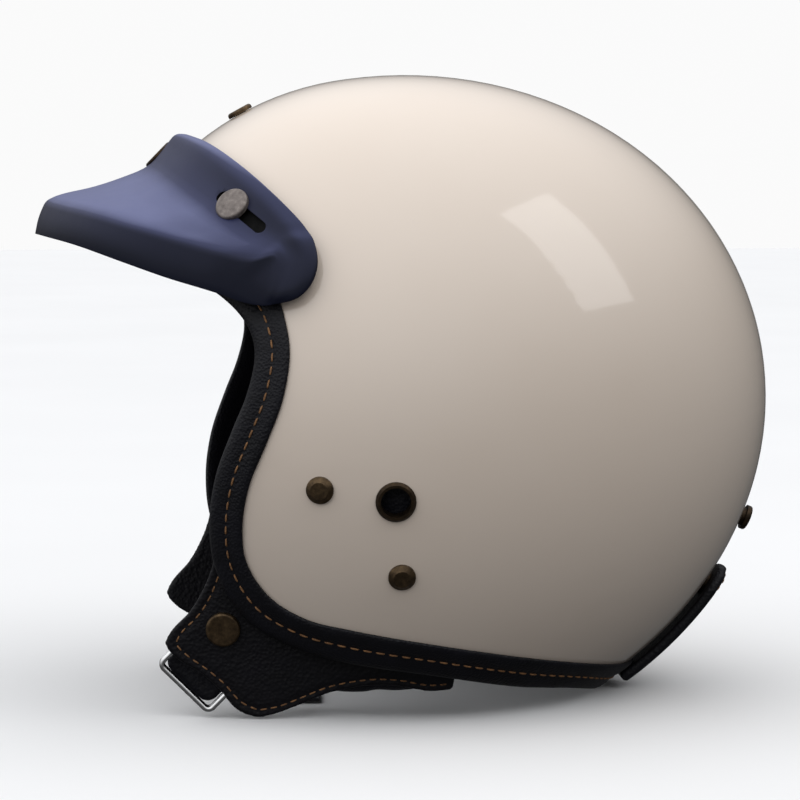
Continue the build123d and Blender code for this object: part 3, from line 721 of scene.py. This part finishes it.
def plate(name, outline, thickness, place, material, body, voxel=1.1, rounding=0.9):
    """A soft-edged sheet: a closed outline filled, thickened, evened out and put in place by
    place(u, v, depth), with depth 0 on the outer face."""
    curve = bpy.data.curves.new(name, "CURVE")
    curve.dimensions = "2D"
    curve.fill_mode = "BOTH"
    half = thickness / 2 - rounding
    curve.extrude = half
    curve.bevel_depth = rounding
    curve.bevel_resolution = 3
    curve.offset = -rounding
    line = curve.splines.new("POLY")
    points = resample(np.array(outline, float), 260, closed=True)
    line.points.add(len(points) - 1)
    for target, (u, v) in zip(line.points, points):
        target.co = (u, v, 0, 1)
    line.use_cyclic_u = True
    holder = bpy.data.objects.new(name, curve)
    bpy.context.scene.collection.objects.link(holder)
    graph = bpy.context.evaluated_depsgraph_get()
    mesh = bpy.data.meshes.new_from_object(holder.evaluated_get(graph))
    bpy.data.objects.remove(holder, do_unlink=True)
    flat = bpy.data.objects.new(name + "_flat", mesh)
    bpy.context.scene.collection.objects.link(flat)
    bm = bmesh.new()
    bm.from_mesh(mesh)
    bmesh.ops.remove_doubles(bm, verts=bm.verts, dist=0.001)
    bm.to_mesh(mesh)
    bm.free()
    even = flat.modifiers.new("even", "REMESH")
    even.mode = "VOXEL"
    even.voxel_size = voxel
    calm = flat.modifiers.new("calm", "SMOOTH")
    calm.factor = 0.5
    calm.iterations = 3
    graph.update()
    graph = bpy.context.evaluated_depsgraph_get()
    solid = bpy.data.meshes.new_from_object(flat.evaluated_get(graph))
    bpy.data.objects.remove(flat, do_unlink=True)
    co = vertex_values(solid, "co")
    verts = place(co[:, 0], co[:, 1], thickness / 2 - co[:, 2])
    faces = [tuple(p.vertices) for p in solid.polygons]
    piece = mesh_object(name, verts, faces, material, body)
    fix_normals(piece)
    return piece


def seam_dip(y, z, seams, width=1.3, depth=0.5):
    """How far the surface sinks along sewn lines."""
    dip = np.zeros(len(y))
    for seam in seams:
        path = spline(seam, 160)
        for start in range(0, len(y), 4000):
            part = slice(start, start + 4000)
            d = np.sqrt(((y[part, None] - path[None, :, 0]) ** 2)
                        + (z[part, None] - path[None, :, 1]) ** 2).min(1)
            dip[part] = np.maximum(dip[part], depth * np.exp(-((d / width) ** 2)))
    return dip


def build_flap(side, name):
    outline = spline(FLAP_OUTLINE[:17], 200).tolist() + FLAP_OUTLINE[17:]

    def place(y, z, depth):
        dip = seam_dip(y, z, [FLAP_FRONT_SEAM, FLAP_HEM_SEAM])
        x = flap_x(y, z) - depth - np.where(depth < FLAP_T / 2, dip, 0)
        return np.stack([side * x, y, z], -1)

    piece = plate(f"flap_leather_{name}", outline, FLAP_T, place, FLAP_LEATHER, "helmet")
    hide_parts(f"cheek_flap_{name}")
    for label, seam in (("front", FLAP_FRONT_SEAM), ("hem", FLAP_HEM_SEAM)):
        path = spline(seam, 200)
        x = flap_x(path[:, 0], path[:, 1]) - 0.42
        points = np.stack([side * x, path[:, 0], path[:, 1]], -1)
        normals = np.tile([side * 1.0, 0.0, -FLAP_SPLAY], (len(points), 1))
        add_stitches(f"flap_{label}_stitches_{name}", points, normals, "helmet", pitch=4.4,
                     length=3.4, width=0.7)


build_flap(1, "left")
build_flap(-1, "right")

# ---- goggle tab: a leather tongue lying on the shell ----
TAB_HALF_WIDTH = 13.6
TAB_INNER, TAB_OUTER = 2.6, 7.5  # its two faces, off the painted shell
TAB_ROOT_RISE = 5.3  # how far above the CAD tab's lowest point the tongue starts
TAB_SEAM_INSET = 2.6


def build_tab():
    lo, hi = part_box("goggle_tab")
    top = hi * 1000
    by, bz = to_body(top.y - STAND_Y, top.z)
    end = atan2(bz / HALF_HEIGHT, by / REAR_REACH)
    low_z = lo.z * 1000
    arc = []
    for k in range(400):
        t = end - radians(40) * k / 399
        p = from_body([0, REAR_REACH * cos(t), HALF_HEIGHT * sin(t)])
        if p[2] < low_z + TAB_ROOT_RISE:
            break
        arc.append(t)
    middle = np.array([from_body([0, REAR_REACH * cos(t), HALF_HEIGHT * sin(t)]) for t in arc])
    length = np.concatenate([[0], np.cumsum(np.linalg.norm(np.diff(middle, axis=0), axis=1))])
    total = length[-1]
    outline = []
    for k in range(25):
        a = pi * k / 24
        outline.append((TAB_HALF_WIDTH * cos(a), TAB_HALF_WIDTH - TAB_HALF_WIDTH * sin(a) + 0.4))
    outline += [(-TAB_HALF_WIDTH, total), (TAB_HALF_WIDTH, total)]

    def place(u, v, depth):
        t = np.interp(v, length, arc)
        grow = TAB_OUTER - depth
        edge = np.minimum(TAB_HALF_WIDTH - np.abs(u), v)
        dip = 0.5 * np.exp(-(((edge - TAB_SEAM_INSET) / 0.9) ** 2))
        grow = grow - np.where(depth < (TAB_OUTER - TAB_INNER) / 2, dip, 0)
        cx = 1 - (u / (HALF_WIDTH + grow)) ** 2
        y = (REAR_REACH + grow) * np.cos(t) * np.sqrt(cx)
        z = (HALF_HEIGHT + grow) * np.sin(t) * np.sqrt(cx)
        return from_body(np.stack([u, y, z], -1))

    piece = plate("tab_leather", outline, TAB_OUTER - TAB_INNER, place, TRIM_LEATHER,
                  "goggle_tab", rounding=1.6)
    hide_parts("goggle_tab")
    r = TAB_HALF_WIDTH - TAB_SEAM_INSET
    seam = [(r, total - 1), (r, TAB_HALF_WIDTH)]
    seam += [(r * cos(pi * k / 16), TAB_HALF_WIDTH - r * sin(pi * k / 16)) for k in range(1, 16)]
    seam += [(-r, TAB_HALF_WIDTH), (-r, total - 1)]
    flat = resample(np.array(seam), 300)
    points = place(flat[:, 0], flat[:, 1], np.full(len(flat), 0.0))
    add_stitches("tab_stitches", points, egg_normal(points), "goggle_tab", pitch=4.6, length=3.5,
                 width=0.7)


build_tab()


# ---- long chin strap: a ribbon of webbing, dropping inside the right flap and lying slack ----
STRAP_RUN = [(-66, -44.5, 45), (-66.6, -44.6, 30), (-65.8, -44.8, 16), (-60.5, -45, 5.4),
             (-50, -45.4, 1.9), (-36, -45.6, 3.4), (-20, -45.2, 1.6), (-4, -44.4, 2.9),
             (12, -44.2, 1.5), (28, -44.5, 1.45), (38, -44.7, 1.4)]
STRAP_WIDTH, STRAP_T = 25.0, 1.9
STRAP_SEWN_FROM = 110  # of the 150 points along the run, where the sewn tip begins


def build_long_strap():
    run = spline(STRAP_RUN, 150)
    heading = np.gradient(run, axis=0)
    heading /= np.linalg.norm(heading, axis=1)[:, None]
    turns = np.linspace(0, 2 * pi, 24, endpoint=False)
    flat = np.stack([np.sign(np.cos(turns)) * np.abs(np.cos(turns)) ** 0.35 * STRAP_WIDTH / 2,
                     np.sign(np.sin(turns)) * np.abs(np.sin(turns)) ** 0.6 * STRAP_T / 2], -1)
    rows = []
    for place, along in zip(run, heading):
        across = np.array([0.0, 1.0, 0.0]) - along * along[1]
        across /= np.linalg.norm(across)
        out = np.cross(along, across)
        rows.append(place + flat[:, :1] * across + flat[:, 1:] * out)
    verts = np.vstack(rows)
    faces = grid_faces(len(rows), len(turns), wrap_columns=True)
    faces += [tuple(range(len(turns)))[::-1],
              tuple(range(len(verts) - len(turns), len(verts)))]
    piece = mesh_object("strap_ribbon", verts, faces, WEBBING, "helmet")
    fix_normals(piece)
    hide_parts("chin_strap_right")
    out = np.cross(heading, [0.0, 1.0, 0.0])
    out /= np.linalg.norm(out, axis=1)[:, None]
    tip = slice(STRAP_SEWN_FROM, None)
    for side, label in ((-1, "front"), (1, "back")):
        seam = run + np.array([0.0, side * (STRAP_WIDTH / 2 - 2.2), 0.0])
        add_stitches(f"strap_stitches_{label}", seam[tip] + out[tip] * (STRAP_T / 2 - 0.15),
                     out[tip], "helmet", pitch=3.6, length=2.6, width=0.6)


build_long_strap()

# ---- ring guard: a leather pad hanging behind the two rings ----
GUARD_ROOT = (-60.0, 43.0)  # the strap's hinge, as (Y, Z)
GUARD_REACH = (1.6, 42.2)  # near and far ends, from the root along the strap
GUARD_HALF_WIDTH = 13.4
GUARD_CORNER = 5.0
GUARD_FACE_X = 61.4
GUARD_T = 3.6


def build_ring_guard():
    near, far = GUARD_REACH
    flat = GUARD_HALF_WIDTH - GUARD_CORNER
    outline = []
    for quarter, (u, v) in enumerate([(far - GUARD_CORNER, flat), (near + GUARD_CORNER, flat),
                                      (near + GUARD_CORNER, -flat), (far - GUARD_CORNER, -flat)]):
        for k in range(9):
            a = pi / 2 * (quarter + k / 8)
            outline.append((u + GUARD_CORNER * cos(a), v + GUARD_CORNER * sin(a)))

    def place(u, v, depth):
        y = GUARD_ROOT[0] + (v - u) * sqrt(0.5)
        z = GUARD_ROOT[1] - (u + v) * sqrt(0.5)
        return np.stack([GUARD_FACE_X - depth, y, z], -1)

    plate("ring_guard_leather", outline, GUARD_T, place, PAD_LEATHER, "helmet")


build_ring_guard()

# ---- padded pieces: cheek pads, neck roll and quilted liner ----
CLOTH_STEPS = 20


def puff(node, name, material, voxel, cap, shrink, pressure, quilt=None, softening=6):
    """Padded cloth over foam: the CAD solid, a little smaller, swollen by a cloth simulation."""
    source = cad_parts[node]
    mesh = source.data.copy()
    piece = bpy.data.objects.new(name, mesh)
    bpy.context.scene.collection.objects.link(piece)
    bm = bmesh.new()
    bm.from_mesh(mesh)
    bmesh.ops.remove_doubles(bm, verts=bm.verts, dist=1e-6)
    bm.to_mesh(mesh)
    bm.free()
    even = piece.modifiers.new("even", "REMESH")
    even.mode = "VOXEL"
    even.voxel_size = voxel / 1000
    pull = piece.modifiers.new("pull", "DISPLACE")
    pull.strength = -shrink / 1000
    pull.mid_level = 0
    calm = piece.modifiers.new("calm", "SMOOTH")
    calm.factor = 0.5
    calm.iterations = softening
    apply_modifiers(piece)
    start = vertex_values(piece.data, "co")
    cloth = piece.modifiers.new("Cloth", "CLOTH")
    cloth.settings.use_pressure = True
    cloth.settings.uniform_pressure_force = pressure
    cloth.settings.effector_weights.gravity = 0
    cloth.settings.quality = 5
    scene = bpy.context.scene
    for step in range(CLOTH_STEPS):
        scene.frame_set(step + 1)
    apply_modifiers(piece)
    scene.frame_set(1)
    move = vertex_values(piece.data, "co") - start
    far = np.linalg.norm(move, axis=1)
    scale = np.minimum(1, (cap / 1000) / np.maximum(far, 1e-9))
    end = start + move * scale[:, None]
    set_points(piece.data, end)
    if quilt:
        local = end * 1000
        local[:, 1] -= STAND_Y
        normals = vertex_values(piece.data, "normal")
        set_points(piece.data, end - normals * quilt(local)[:, None] / 1000)
    finer = piece.modifiers.new("finer", "SUBSURF")
    finer.levels = finer.render_levels = 1
    apply_modifiers(piece)
    piece.data.materials.clear()
    piece.data.materials.append(material)
    smooth_faces(piece.data)
    piece.parent = None
    piece.matrix_world = Matrix.Identity(4)
    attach(piece, "helmet")
    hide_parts(node)


LINER_STRIP = 30  # half the width of the strip over the head


def channel(distance, width=3.0, depth=2.2):
    return depth * np.exp(-((distance / width) ** 2))


def liner_quilt(p):
    """Sewn channels: a centre strip over the head and ribs across it."""
    seams = np.abs(np.abs(p[:, 0]) - LINER_STRIP)
    by, bz = to_body(p[:, 1], p[:, 2])
    angle = np.degrees(np.arctan2(bz, by))
    ribs = np.abs((angle + 12) % 24 - 12) * 1.9
    return np.maximum(channel(seams),
                      np.where(np.abs(p[:, 0]) < LINER_STRIP, channel(ribs, 2.6, 1.6), 0))


def pad_quilt(p):
    lines = np.abs((p[:, 1] + p[:, 2] * 0.35 + 200) % 26 - 13)
    return np.where(p[:, 2] > 8, channel(lines, 2.4, 1.3), 0)


for pad_side in ("left", "right"):
    puff(f"cheek_pad_{pad_side}", f"cheek_cushion_{pad_side}", PAD_LEATHER,
         voxel=4, cap=2.0, shrink=1.2, pressure=4, quilt=pad_quilt, softening=22)
puff("neck_roll", "neck_cushion", PAD_LEATHER,
     voxel=4, cap=1.6, shrink=1.6, pressure=4)
puff("comfort_liner", "head_liner", LINING,
     voxel=5, cap=1.2, shrink=1.2, pressure=3, quilt=liner_quilt)

# ---- studio: camera, floor and light ----
DOME_TOWARD = (0.14, -0.24, 0.95)
DOME_LOW, DOME_HIGH = 0.08, 1.45
DOME_FADE = (-0.15, 0.9)  # from its dim side to its bright side
PAPER_WHITE = 0.96
FLOOR_SIZE = 6
FLOOR_DROP = 0.0005


def build_camera():
    azimuth, elevation, distance = radians(86), radians(5), 1300.0
    target = Vector(mm([(0, 0, CENTRE_Z)])[0])
    back = Vector((sin(azimuth) * cos(elevation), -cos(azimuth) * cos(elevation), sin(elevation)))
    camera = bpy.data.cameras.new("camera")
    camera.sensor_width = 36
    camera.lens = 133.4
    camera.shift_x = 0.0141
    camera.shift_y = 0.0158
    eye = bpy.data.objects.new("camera", camera)
    bpy.context.scene.collection.objects.link(eye)
    eye.location = target + back * distance / 1000
    eye.rotation_euler = back.to_track_quat("Z", "Y").to_euler()
    bpy.context.scene.camera = eye


def build_floor():
    mesh = bpy.data.meshes.new("floor")
    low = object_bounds()[0].z - FLOOR_DROP
    signs = ((-1, -1), (1, -1), (1, 1), (-1, 1))
    corners = [(x * FLOOR_SIZE, y * FLOOR_SIZE, low) for x, y in signs]
    mesh.from_pydata(corners, [], [(0, 1, 2, 3)])
    floor = bpy.data.objects.new("floor", mesh)
    bpy.context.scene.collection.objects.link(floor)
    s = Shader("floor", 0.9)
    s.bsdf.inputs["Specular IOR Level"].default_value = 0.1
    s.colour(s.ramp(s.noise(3, 2), [(0.3, grey(0.84)), (0.7, grey(0.86))]))
    floor.data.materials.append(s.material)
    floor.visible_diffuse = floor.visible_glossy = False


def build_light(name, place, aim, size, power):
    data = bpy.data.lights.new(name, "AREA")
    data.shape = "RECTANGLE"
    data.size, data.size_y = size
    data.energy = power
    lamp = bpy.data.objects.new(name, data)
    bpy.context.scene.collection.objects.link(lamp)
    lamp.location = place
    lamp.rotation_euler = (Vector(place) - Vector(aim)).to_track_quat("Z", "Y").to_euler()


def build_world():
    """A soft dome, bright overhead and to the front, dim near the floor; white where it shows."""
    world = bpy.data.worlds.new("studio")
    bpy.context.scene.world = world
    world.use_nodes = True
    nodes, links = world.node_tree.nodes, world.node_tree.links
    toward = nodes.new("ShaderNodeVectorMath")
    toward.operation = "DOT_PRODUCT"
    toward.inputs[1].default_value = Vector(DOME_TOWARD).normalized()
    links.new(nodes.new("ShaderNodeTexCoord").outputs["Generated"], toward.inputs[0])
    level = nodes.new("ShaderNodeMapRange")
    level.interpolation_type = "SMOOTHSTEP"
    level.inputs["From Min"].default_value = DOME_FADE[0]
    level.inputs["From Max"].default_value = DOME_FADE[1]
    level.inputs["To Min"].default_value = DOME_LOW
    level.inputs["To Max"].default_value = DOME_HIGH
    links.new(toward.outputs["Value"], level.inputs["Value"])
    dome = nodes["Background"]
    dome.inputs["Color"].default_value = (0.97, 0.98, 1, 1)
    links.new(level.outputs["Result"], dome.inputs["Strength"])
    paper = nodes.new("ShaderNodeBackground")
    paper.inputs["Color"].default_value = (1, 1, 1, 1)
    paper.inputs["Strength"].default_value = PAPER_WHITE
    seen = nodes.new("ShaderNodeLightPath")
    mix = nodes.new("ShaderNodeMixShader")
    links.new(seen.outputs["Is Camera Ray"], mix.inputs["Fac"])
    links.new(dome.outputs["Background"], mix.inputs[1])
    links.new(paper.outputs["Background"], mix.inputs[2])
    links.new(mix.outputs["Shader"], nodes["World Output"].inputs["Surface"])


build_camera()
build_floor()
build_world()
build_light("key", (0.65, 1.03, 1.20), (0.09, 0.06, 0.20), (0.5, 0.95), 2.1)
bpy.context.scene.view_settings.view_transform = "Standard"
